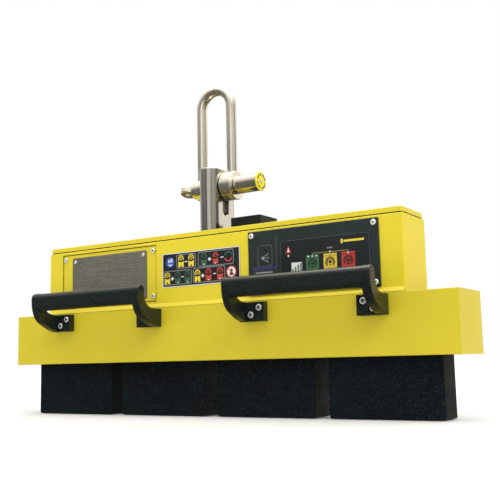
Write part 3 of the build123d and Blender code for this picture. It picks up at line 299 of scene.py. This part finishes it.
def rating_plate_material():
    """Brushed sheet with rows of faint engraved dashes."""
    material, tree, shader = new_material("rating_plate_sheet")
    brush = noise(tree, 500.0, 4.0, (0.03, 1, 1), 0.7)
    cloud = noise(tree, 18.0, 3.0)
    base = mix_colour(tree, remap(tree, brush, (0.3, 0.7), (0, 1)), (0.20, 0.20, 0.155), (0.34, 0.335, 0.27))
    base = mix_colour(tree, remap(tree, cloud, (0.35, 0.7), (0, 0.6)), base, (0.19, 0.188, 0.15))
    low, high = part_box("rating_plate")
    split = add(tree, "ShaderNodeSeparateXYZ")
    tree.links.new(place(tree), split.inputs[0])
    rows = combine(tree, "FRACT", combine(tree, "MULTIPLY", split.outputs["Z"], 1 / DASH_PITCH))
    row_on = combine(tree, "LESS_THAN", rows, DASH_SHARE)
    dash_on = combine(tree, "GREATER_THAN", noise(tree, 260.0, 1.0, (1, 1, 0.9)), 0.52)
    inside = combine(tree, "MULTIPLY", row_on, dash_on)
    past_left = combine(tree, "GREATER_THAN", split.outputs["X"], low[0] + DASH_MARGINS[0])
    before_right = combine(tree, "LESS_THAN", split.outputs["X"], high[0] - DASH_MARGINS[1])
    inside = combine(tree, "MULTIPLY", inside, combine(tree, "MULTIPLY", past_left, before_right))
    base = mix_colour(tree, combine(tree, "MULTIPLY", inside, 0.45), base, (0.09, 0.09, 0.07))
    tree.links.new(base, shader.inputs["Base Color"])
    tree.links.new(remap(tree, brush, (0.25, 0.75), (0.34, 0.5)), shader.inputs["Roughness"])
    shader.inputs["Metallic"].default_value = 0.6
    bump(tree, shader, [(brush, 0.2, 0.0002), (inside, 0.3, 0.0001)])
    return material


materials["brushed_stainless"] = rating_plate_material()
turned = metal("turned_stainless", (0.76, 0.72, 0.63), 0.17, (1, 0.02, 0.02), 700.0, depth=0.2, tint=0.3)
bow_metal = metal("bow_stainless", (0.90, 0.855, 0.75), 0.22, (1, 1, 0.02), 500.0, depth=0.2)

slot_of = {part["node"]: part["material_slot"] for part in frame["record"]["subparts"]}
for name, node in nodes.items():
    node.data.materials.clear()
    node.data.materials.append(materials[slot_of[name]])
for name in ("sensor_sleeve", "load_pin"):
    nodes[name].data.materials[0] = turned
nodes["shackle_bow"].data.materials[0] = bow_metal

# ---------------------------------------------------------------- printed graphics, as thin flat meshes

INK_COLOURS = {
    "white": (0.80, 0.80, 0.76),
    "grey": (0.27, 0.28, 0.28),
    "yellow": (0.80, 0.62, 0.02),
    "green": (0.032, 0.125, 0.065),
    "red": (0.60, 0.045, 0.025),
    "blue": (0.02, 0.09, 0.42),
    "black": (0.008, 0.010, 0.012),
    "navy": (0.014, 0.032, 0.115),
    "bronze": (0.30, 0.25, 0.05),
    "dim": (0.085, 0.095, 0.098),
    "shade": (0.020, 0.025, 0.030),
    "dark_green": (0.022, 0.085, 0.045),
    "dark_red": (0.33, 0.030, 0.020),
    "key_green": KEY_GREEN,
    "key_yellow": KEY_YELLOW,
    "key_red": KEY_RED,
}
INKS = {name: coat(f"print_{name}", colour, 0.45, FINE_GRAIN) for name, colour in INK_COLOURS.items()}
PRINT_GAP_MM = 0.06  # between a surface and its print
PRINT_LAYER_MM = 0.004


def new_piece(name, mesh):
    piece = bpy.data.objects.new(name, mesh)
    scene.collection.objects.link(piece)
    return piece


def mm_box(node):
    low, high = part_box(node)
    return [v / MM for v in low], [v / MM for v in high]


def middle_xz(node):
    low, high = mm_box(node)
    return (low[0] + high[0]) / 2, (low[2] + high[2]) / 2


def arc_points(x, z, radius, start, end, steps):
    angles = [math.radians(start + (end - start) * i / steps) for i in range(steps + 1)]
    return [(x + radius * math.cos(a), z + radius * math.sin(a)) for a in angles]


def rounded_points(x_span, z_span, corner, steps=6):
    points = []
    centres = (
        (x_span[1] - corner, z_span[1] - corner, 0),
        (x_span[0] + corner, z_span[1] - corner, 90),
        (x_span[0] + corner, z_span[0] + corner, 180),
        (x_span[1] - corner, z_span[0] + corner, 270),
    )
    for x, z, start in centres:
        points += arc_points(x, z, corner, start, start + 90, steps)
    return points


class Artwork:
    """Flat outlines printed on a node's control side, which become one thin mesh.

    They are in millimetres from the node's lower left corner, or from its middle where it is centred.
    """

    def __init__(self, name, node, body, slot, centred=False):
        low, high = mm_box(node)
        self.name, self.body, self.slot = name, body, slot
        self.front = low[1]
        self.width, self.height = high[0] - low[0], high[2] - low[2]
        self.origin = middle_xz(node) if centred else (low[0], low[2])
        self.points, self.faces, self.inks, self.used = [], [], [], []
        self.layer = 0

    def add_points(self, outline):
        """Places an outline one thin layer above the shapes before it, and gives its first point's number."""
        first = len(self.points)
        self.layer += 1
        y = self.front - PRINT_GAP_MM - PRINT_LAYER_MM * self.layer
        self.points += [((self.origin[0] + x) * MM, y * MM, (self.origin[1] + z) * MM) for x, z in outline]
        return first

    def add_face(self, ink_name, corners):
        if ink_name not in self.used:
            self.used.append(ink_name)
        self.faces.append(corners)
        self.inks.append(self.used.index(ink_name))

    def shape(self, ink_name, outline):
        """A filled outline."""
        first = self.add_points(outline)
        self.add_face(ink_name, list(range(first, first + len(outline))))

    def band(self, ink_name, outer, inner, closed=True):
        """A strip between two outlines of the same length."""
        first = self.add_points(outer + inner)
        count = len(outer)
        for i in range(count if closed else count - 1):
            j = (i + 1) % count
            self.add_face(ink_name, [first + i, first + j, first + count + j, first + count + i])

    def rect(self, ink_name, x, z, width, height):
        left, right = x - width / 2, x + width / 2
        bottom, top = z - height / 2, z + height / 2
        self.shape(ink_name, [(left, bottom), (right, bottom), (right, top), (left, top)])

    def disc(self, ink_name, x, z, radius):
        self.shape(ink_name, arc_points(x, z, radius, 0, 360, 28)[:-1])

    def ring(self, ink_name, x, z, radius, width, start=0, end=360, steps=28):
        outer = arc_points(x, z, radius, start, end, steps)
        inner = arc_points(x, z, radius - width, start, end, steps)
        self.band(ink_name, outer, inner, closed=False)

    def frame(self, ink_name, x_span, z_span, corner, width):
        inner_x = (x_span[0] + width, x_span[1] - width)
        inner_z = (z_span[0] + width, z_span[1] - width)
        inner = rounded_points(inner_x, inner_z, corner - width)
        self.band(ink_name, rounded_points(x_span, z_span, corner), inner)

    def line(self, ink_name, start, end, width):
        (x0, z0), (x1, z1) = start, end
        run = math.hypot(x1 - x0, z1 - z0)
        nx, nz = -(z1 - z0) / run * width / 2, (x1 - x0) / run * width / 2
        self.shape(ink_name, [(x0 - nx, z0 - nz), (x1 - nx, z1 - nz), (x1 + nx, z1 + nz), (x0 + nx, z0 + nz)])

    def build(self):
        mesh = bpy.data.meshes.new(self.name)
        mesh.from_pydata(self.points, [], self.faces)
        for ink_name in self.used:
            mesh.materials.append(INKS[ink_name])
        mesh.polygons.foreach_set("material_index", self.inks)
        mesh.update()
        for polygon in mesh.polygons:
            if polygon.normal.y > 0:
                polygon.flip()
        mesh.update()
        piece = new_piece(self.name, mesh)
        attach(piece, self.body)


# Signs of the pictogram label, each drawn about its own place

HEAD_INKS = {"yellow": "yellow", "green": "dark_green", "red": "dark_red"}
SIGN_RING_RADIUS, SIGN_RING_WIDTH = 6.6, 1.7


def head(art, x, z, ink_name, height):
    """A pole head: a dark disc under a coloured arc, over an M-shaped foot."""
    radius = height * 0.30
    half = radius * 0.95
    toe = half * 0.28
    top_z = z + height / 2 - radius
    foot_bottom = z - height / 2
    foot_top = top_z - radius * 0.72
    notch = (foot_top + foot_bottom) / 2
    art.shape(ink_name, [(x - half, foot_bottom), (x - toe, foot_bottom), (x, notch),
                         (x, foot_top), (x - half, foot_top)])
    art.shape(ink_name, [(x + toe, foot_bottom), (x + half, foot_bottom), (x + half, foot_top),
                         (x, foot_top), (x, notch)])
    art.disc("black", x, top_z, radius)
    art.ring(ink_name, x, top_z, radius, radius * 0.30, -25, 205, 20)
    art.ring(HEAD_INKS[ink_name], x, top_z, radius * 0.45, radius * 0.18)
    if ink_name != "yellow":
        art.disc("white", x, foot_bottom + radius * 0.18, radius * 0.20)


def plus(art, x, z):
    length, thickness = 5.0, 1.7
    art.rect("white", x, z, length, thickness)
    art.rect("white", x, z, thickness, length)


def dash(art, x, z, length):
    art.rect("white", x, z, length, 1.2)


def part_ring(art, x, z, ink_name, start, end):
    art.ring(ink_name, x, z, SIGN_RING_RADIUS, SIGN_RING_WIDTH, start, end, 12)


def blue_sign(art, x, z):
    """A blue disc with an arc, two dots and a bar."""
    art.disc("blue", x, z, 7.2)
    art.ring("white", x, z - 1.5, 3.6, 1.4, 200, 340, 10)
    art.disc("white", x - 2.2, z + 2.8, 1.3)
    art.disc("white", x + 2.3, z + 3.5, 1.5)
    art.line("white", (x - 3.5, z + 0.1), (x + 4.1, z + 1.5), 1.3)


def crossed_person(art, x, z):
    """A red ring with a bar across a standing figure."""
    radius, width = 8.0, 1.6
    art.disc("white", x, z, radius)
    art.ring("red", x, z, radius, width)
    art.disc("black", x + 0.6, z + 2.4, 1.8)
    art.shape("black", [(x - 3.2, z - 4.6), (x + 3.0, z - 4.6), (x + 1.8, z + 0.2), (x - 1.6, z + 0.2)])
    art.line("red", (x - 5.2, z + 5.0), (x + 5.2, z - 5.0), 1.5)


# Each frame's span across and up, then its signs: what it is, its place and its other values
LABEL_FRAMES = (
    ((24.0, 57.0), (24.8, 44.4), (
        (head, 32.0, 34.8, "yellow", 16.4),
        (head, 49.2, 34.8, "yellow", 16.4),
        (dash, 40.6, 33.6, 4.6),
    )),
    ((61.0, 118.5), (24.4, 44.6), (
        (head, 70.5, 34.6, "green", 16.4),
        (plus, 79.8, 33.6),
        (head, 89.5, 34.4, "red", 15.0),
        (dash, 100.0, 34.6, 5.0),
        (part_ring, 110.2, 35.2, "green", 15, 165),
        (part_ring, 110.2, 34.6, "red", 195, 345),
    )),
    ((2.2, 50.0), (3.0, 22.6), (
        (head, 8.6, 12.6, "yellow", 16.0),
        (plus, 17.2, 11.6),
        (head, 26.4, 12.8, "green", 16.0),
        (dash, 34.8, 13.2, 4.6),
        (head, 43.0, 12.8, "green", 16.0),
    )),
    ((52.4, 104.6), (3.0, 23.4), (
        (head, 59.6, 12.8, "yellow", 16.4),
        (plus, 68.6, 12.2),
        (head, 78.0, 13.2, "red", 16.0),
        (dash, 87.6, 13.6, 4.6),
        (head, 96.4, 13.4, "red", 16.0),
    )),
)


def label_print():
    """A white border, a blue sign, four frames of pole heads and a crossed person."""
    art = Artwork("label_print", "pictogram_label", "magnet_body", "label_black")
    art.frame("white", (0, art.width), (0, art.height), 2.0, 1.0)
    blue_sign(art, 13.5, 34.5)
    for x_span, z_span, signs in LABEL_FRAMES:
        art.frame("grey", x_span, z_span, 3.0, 0.9)
        for sign, x, z, *values in signs:
            sign(art, x, z, *values)
    crossed_person(art, 114.6, 14.0)
    art.build()


def horn(art, x, z):
    """A loudspeaker with three strokes of sound, from the middle of its mouth."""
    back, throat, mouth = x - 4.4, x - 2.4, x
    narrow, wide = 1.5, 3.9
    art.shape("grey", [(back, z - narrow), (throat, z - narrow), (mouth, z - wide),
                       (mouth, z + wide), (throat, z + narrow), (back, z + narrow)])
    art.line("grey", (x + 1.4, z + 2.7), (x + 5.8, z + 5.5), 1.1)
    art.line("grey", (x + 1.8, z), (x + 6.6, z), 1.1)
    art.line("grey", (x + 1.4, z - 2.7), (x + 5.8, z - 5.5), 1.1)


def panel_print():
    """A divider, the sounder's plate with a horn, and a blank plate with a bar."""
    art = Artwork("panel_print", "control_panel", "magnet_body", "panel_black")
    plate_x, plate_width = 23.5, 33.0
    art.rect("dim", 42.4, art.height / 2 - 1, 0.7, 68.0)
    art.frame("dim", (14.6, 36.4), (36.0, 64.0), 3.5, 0.9)
    art.rect("navy", plate_x, 34.2, plate_width, 4.2)
    art.rect("shade", plate_x, 25.5, plate_width, 12.6)
    art.rect("grey", plate_x, 28.6, 25.0, 1.8)
    horn(art, 24.6, 47.1)
    art.build()


KEY_CAP_WIDTH = 18.0
STRIP_HEIGHT = 2.7
RAIL_WIDTH = 0.8


def overlay_print():
    """The outline round the keys, a strip and a rail over them, and a bar in the upper right corner."""
    art = Artwork("overlay_print", "keypad_overlay", "magnet_body", "overlay_film")
    edge = 0.2
    art.frame("dim", (edge, art.width - edge), (edge, art.height - edge), 3.8, 0.5)
    lamps_low, lamps_high = mm_box("status_lamps")
    strip_z = lamps_low[2] + 1.15 - art.origin[1]
    rail_z = lamps_high[2] - 1.0 - art.origin[1]
    key_x = {name: middle_xz(name)[0] - art.origin[0] for name in ("key_green", "key_yellow", "key_red")}
    for name, x in key_x.items():
        art.rect(name, x, strip_z, KEY_CAP_WIDTH, STRIP_HEIGHT)
    rail_ends = (key_x["key_green"], key_x["key_red"])
    art.rect("bronze", sum(rail_ends) / 2, rail_z, rail_ends[1] - rail_ends[0], RAIL_WIDTH)
    for x in rail_ends:
        art.rect("bronze", x, rail_z - 1.3, RAIL_WIDTH, 2.2)
    art.disc("grey", key_x["key_yellow"], strip_z + 0.05, 0.9)
    for step in range(4):
        art.rect("grey", key_x["key_yellow"] - 3.0 + step * 2.0, rail_z + 5.0, 1.3, 1.8)
    bar_z = art.height - 8.0
    art.rect("yellow", art.width - 20.5, bar_z, 27.0, 2.6)
    art.rect("yellow", art.width - 36.4, bar_z, 2.6, 5.4)
    art.build()


def lamp_print():
    """A pale wedge and a dot on the warning lamp."""
    art = Artwork("warning_lamp_print", "warning_lamp", "magnet_body", "lamp_red", centred=True)
    art.shape("white", [(-1.5, -3.2), (1.5, -3.2), (0, 2.6)])
    art.disc("white", 0, -8.2, 1.2)
    art.build()


def gauge_print():
    """Four rising bars."""
    art = Artwork("gauge_print", "gauge_window", "magnet_body", "gauge_film")
    pitch = art.width / 4
    for index, share in enumerate((0.35, 0.55, 0.72, 0.9)):
        height = art.height * share
        art.rect("green", pitch * (index + 0.5) + 0.3, height / 2, pitch * 0.56, height)
    art.build()


def key_print(name, body, open_lock):
    """A dark disc with an arch over a lock, on a key's cap."""
    art = Artwork(f"{name}_print", name, body, name, centred=True)
    arch_z, lock_z = 0.4, -3.6
    leg_x, leg_end = 2.7, -1.8
    leg_width = 1.2
    art.disc("black", 0, arch_z, 6.5)
    art.rect(name, 0, -6.0, 14.0, 1.6)
    art.ring(name, 0, arch_z, 5.2, 0.5, -25, 205, 24)
    art.ring(name, 0, arch_z, 3.3, leg_width, 0, 180, 14)
    art.line(name, (-leg_x, arch_z), (-leg_x, leg_end), leg_width)
    art.rect(name, 0, lock_z, 7.4, 4.6)
    if open_lock:
        art.rect("black", 0, lock_z, 4.6, 2.2)
    else:
        art.line(name, (leg_x, arch_z), (leg_x, leg_end), leg_width)
        art.disc("black", 0, -3.2, 1.0)
    art.build()


def cap_marks():
    """A ring of small dark marks round the rim of the sensor's cap, with two gaps."""
    low, high = mm_box("sensor_cap")
    y_middle, z_middle = (low[1] + high[1]) / 2, (low[2] + high[2]) / 2
    x = high[0] + 0.05
    inner, outer = 8.1, 10.9
    places, places_left_out = 26, (0, 6)
    points, faces = [], []
    for index in range(places):
        if index % (places // 2) in places_left_out:
            continue
        angle = 2 * math.pi * index / places
        half = 2 * math.pi / places * (0.24 + 0.10 * (index % 3))
        first = len(points)
        for radius, shift in ((inner, -half), (outer, -half), (outer, half), (inner, half)):
            y = y_middle + radius * math.cos(angle + shift)
            z = z_middle + radius * math.sin(angle + shift)
            points.append((x * MM, y * MM, z * MM))
        faces.append([first, first + 1, first + 2, first + 3])
    mesh = bpy.data.meshes.new("cap_marks")
    mesh.from_pydata(points, [], faces)
    mesh.materials.append(INKS["black"])
    mesh.update()
    piece = new_piece("cap_marks", mesh)
    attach(piece, "pin_carriage")


label_print()
panel_print()
overlay_print()
lamp_print()
gauge_print()
key_print("key_green", "green_button", True)
key_print("key_yellow", "yellow_button", False)
key_print("key_red", "red_button", True)
cap_marks()

# ---------------------------------------------------------------- studio

BACKDROP_RADIUS = 30.0
FLOOR_RADIUS = 29.0
ROOM_RADIUS = 20.0
FLOOR_Z = -0.0006
FLOOR_SIDES = 64

# Azimuth in degrees and colour of what polished surfaces reflect: soft boxes and dark gaps round the room
ROOM_BANDS = (
    (-180, (0.55, 0.54, 0.52)),
    (-165, (0.16, 0.16, 0.16)),
    (-95, (0.18, 0.18, 0.18)),
    (-80, (1.1, 1.08, 1.0)),
    (-62, (1.0, 0.98, 0.90)),
    (-50, (0.45, 0.43, 0.39)),
    (5, (0.42, 0.40, 0.36)),
    (15, (0.10, 0.10, 0.09)),
    (38, (0.12, 0.11, 0.10)),
    (48, (1.10, 1.04, 0.92)),
    (75, (1.15, 1.10, 1.0)),
    (93, (0.45, 0.43, 0.39)),
    (110, (1.3, 1.22, 1.08)),
    (132, (1.3, 1.22, 1.08)),
    (150, (0.75, 0.73, 0.70)),
)
# Heights where each colour starts and is full, as shares of the room's radius, in the order of mixing
ROOM_HEIGHTS = (
    ((0.20, 0.55), (0.92, 0.88, 0.80)),
    ((0.55, 0.90), (1.6, 1.5, 1.35)),
    ((0.82, 0.92), (7.0, 6.5, 5.7)),
    ((-0.05, -0.45), (0.16, 0.14, 0.09)),
)


def only_seen_by(piece, camera=False, glossy=False):
    piece.visible_camera = camera
    piece.visible_glossy = glossy
    piece.visible_diffuse = False
    piece.visible_transmission = False
    piece.visible_volume_scatter = False
    piece.visible_shadow = False


def shell(name, radius, material):
    """A large sphere round the scene."""
    mesh = bpy.data.meshes.new(name)
    form = bmesh.new()
    bmesh.ops.create_uvsphere(form, u_segments=64, v_segments=32, radius=radius)
    form.to_mesh(mesh)
    form.free()
    mesh.materials.append(material)
    piece = new_piece(name, mesh)
    return piece


def glow(name):
    """A material that only emits, and the socket of its colour."""
    material = bpy.data.materials.new(name)
    material.use_nodes = True
    tree = material.node_tree
    tree.nodes.clear()
    emission = add(tree, "ShaderNodeEmission")
    emission.inputs["Strength"].default_value = 1.0
    output = add(tree, "ShaderNodeOutputMaterial")
    tree.links.new(emission.outputs[0], output.inputs["Surface"])
    return material, tree, emission.inputs["Color"]


def backdrop():
    material = glow("backdrop_white")[0]
    only_seen_by(shell("backdrop", BACKDROP_RADIUS, material), camera=True)


def room_reflections():
    """The room that only polished surfaces see, brighter above and dark below."""
    material, tree, colour_socket = glow("room_reflections")
    split = add(tree, "ShaderNodeSeparateXYZ")
    tree.links.new(place(tree), split.inputs[0])
    azimuth = combine(tree, "ARCTAN2", split.outputs["Y"], split.outputs["X"])
    ramp = add(tree, "ShaderNodeValToRGB")
    tree.links.new(remap(tree, azimuth, (-math.pi, math.pi), (0, 1)), ramp.inputs[0])
    elements = ramp.color_ramp.elements
    elements.remove(elements[-1])
    for index, (degrees, colour) in enumerate(ROOM_BANDS):
        position = (degrees + 180) / 360
        element = elements[0] if index == 0 else elements.new(position)
        element.position = position
        element.color = (*colour, 1)
    height = combine(tree, "DIVIDE", split.outputs["Z"], ROOM_RADIUS)
    mixed = ramp.outputs["Color"]
    for span, colour in ROOM_HEIGHTS:
        mixed = mix_colour(tree, remap(tree, height, span, (0, 1)), mixed, colour)
    tree.links.new(mixed, colour_socket)
    only_seen_by(shell("room_reflections", ROOM_RADIUS, material), glossy=True)


def pale_floor():
    mesh = bpy.data.meshes.new("floor")
    rim = arc_points(0, 0, FLOOR_RADIUS, 0, 360, FLOOR_SIDES)[:-1]
    mesh.from_pydata([(x, y, FLOOR_Z) for x, y in rim], [], [list(range(FLOOR_SIDES))])
    mesh.materials.append(coat("floor_pale", (0.90, 0.90, 0.90), 0.9, (40.0, 0.02, 0.0005), 0.01))
    floor = new_piece("floor", mesh)
    floor.visible_glossy = False


def white_world():
    world = bpy.data.worlds.new("studio")
    scene.world = world
    world.use_nodes = True
    background = world.node_tree.nodes["Background"]
    background.inputs["Color"].default_value = (1.0, 1.0, 1.0, 1)
    background.inputs["Strength"].default_value = 0.78


def sun(name, towards, strength, angle):
    """A distant soft light that comes from the direction towards."""
    light = bpy.data.lights.new(name, "SUN")
    light.energy = strength
    light.angle = math.radians(angle)
    lamp = bpy.data.objects.new(name, light)
    lamp.rotation_mode = "QUATERNION"
    lamp.rotation_quaternion = Vector(towards).to_track_quat("Z", "Y")
    scene.collection.objects.link(lamp)


backdrop()
room_reflections()
pale_floor()
white_world()
sun("key_light", (0.75, -0.42, 0.85), 1.15, 35)
sun("top_light", (-0.2, -0.35, 1.0), 0.55, 60)
scene.view_settings.view_transform = "Standard"

# ---------------------------------------------------------------- camera

CAMERA_PLACE = (0.62743, -0.89564, 0.07291)
YAW, PITCH, ROLL = math.radians(31.93), math.radians(7.76), math.radians(-1.36)
SENSOR_WIDTH_MM = 36.0
FOCAL_LENGTH_MM = 58.22


def aim_camera():
    ahead = Vector((-math.sin(YAW) * math.cos(PITCH), math.cos(YAW) * math.cos(PITCH), math.sin(PITCH)))
    level = Vector((math.cos(YAW), math.sin(YAW), 0))
    over = level.cross(ahead)
    right = level * math.cos(ROLL) + over * math.sin(ROLL)
    up = over * math.cos(ROLL) - level * math.sin(ROLL)
    lens = bpy.data.cameras.new("camera")
    lens.sensor_width = SENSOR_WIDTH_MM
    lens.lens = FOCAL_LENGTH_MM
    lens.clip_start = 0.02
    lens.clip_end = 200.0
    camera = bpy.data.objects.new("camera", lens)
    axes = Matrix((right, up, -ahead)).transposed().to_4x4()
    camera.matrix_world = Matrix.Translation(CAMERA_PLACE) @ axes
    scene.collection.objects.link(camera)
    scene.camera = camera


aim_camera()
